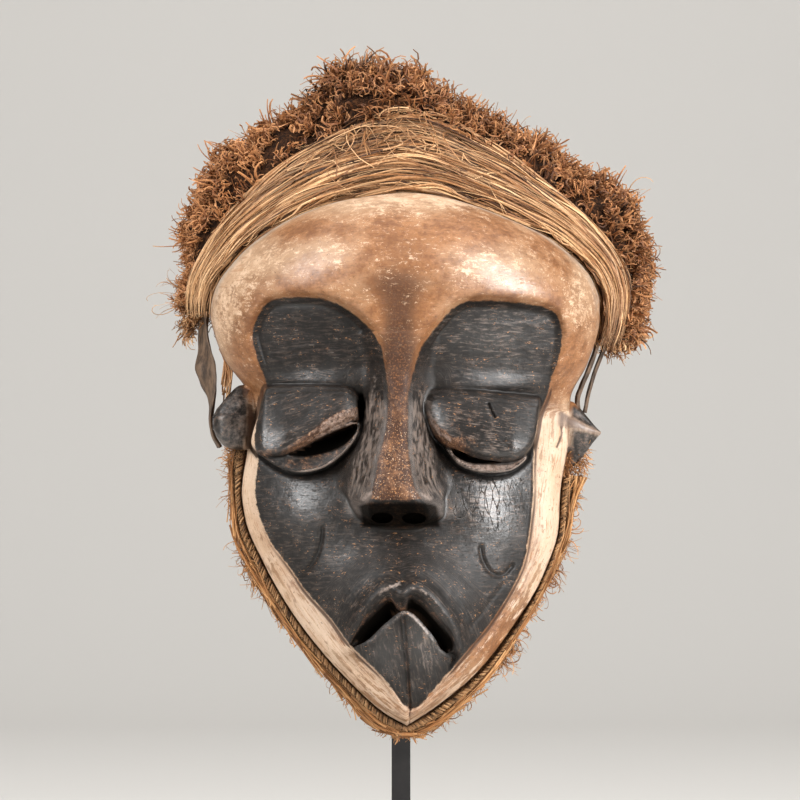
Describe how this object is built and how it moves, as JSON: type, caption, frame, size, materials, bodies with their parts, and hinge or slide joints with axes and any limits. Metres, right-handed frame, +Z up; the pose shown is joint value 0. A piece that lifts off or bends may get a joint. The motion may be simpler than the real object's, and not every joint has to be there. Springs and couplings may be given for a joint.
{
  "type": "pende mask on a display stand",
  "caption": "Carved wooden face mask with slit eyes, side ears and a shaggy raffia coiffure, held upright on a flat-footed post.",
  "frame": {"origin": "middle of the underside of the stand's base", "axes": "+Z up, from the base towards the top of the coiffure; the face looks towards -Y; +X towards the right as the viewer sees the face"},
  "size_m": [0.242, 0.2129, 0.4286],
  "materials": {
    "carved_wood": "carved wood, dark polished patina worn to pale tan on the forehead and the rim",
    "band_raffia": "flat golden plant fibre, combed flat",
    "cap_raffia": "short curly reddish-brown plant fibre",
    "binding_fibre": "stitched plant fibre with a frayed orange edge",
    "strap_hide": "dull dark brown hide",
    "stand_steel": "matt black paint"
  },
  "bodies": {
    "root": {"mask_face": "carved_wood", "raffia_band": "band_raffia", "raffia_cap": "cap_raffia", "jaw_binding": "binding_fibre", "strap_left": "strap_hide", "strap_right_front": "strap_hide", "strap_right_back": "strap_hide", "stand_post": "stand_steel", "stand_base": "stand_steel"}
  },
  "joints": []
}
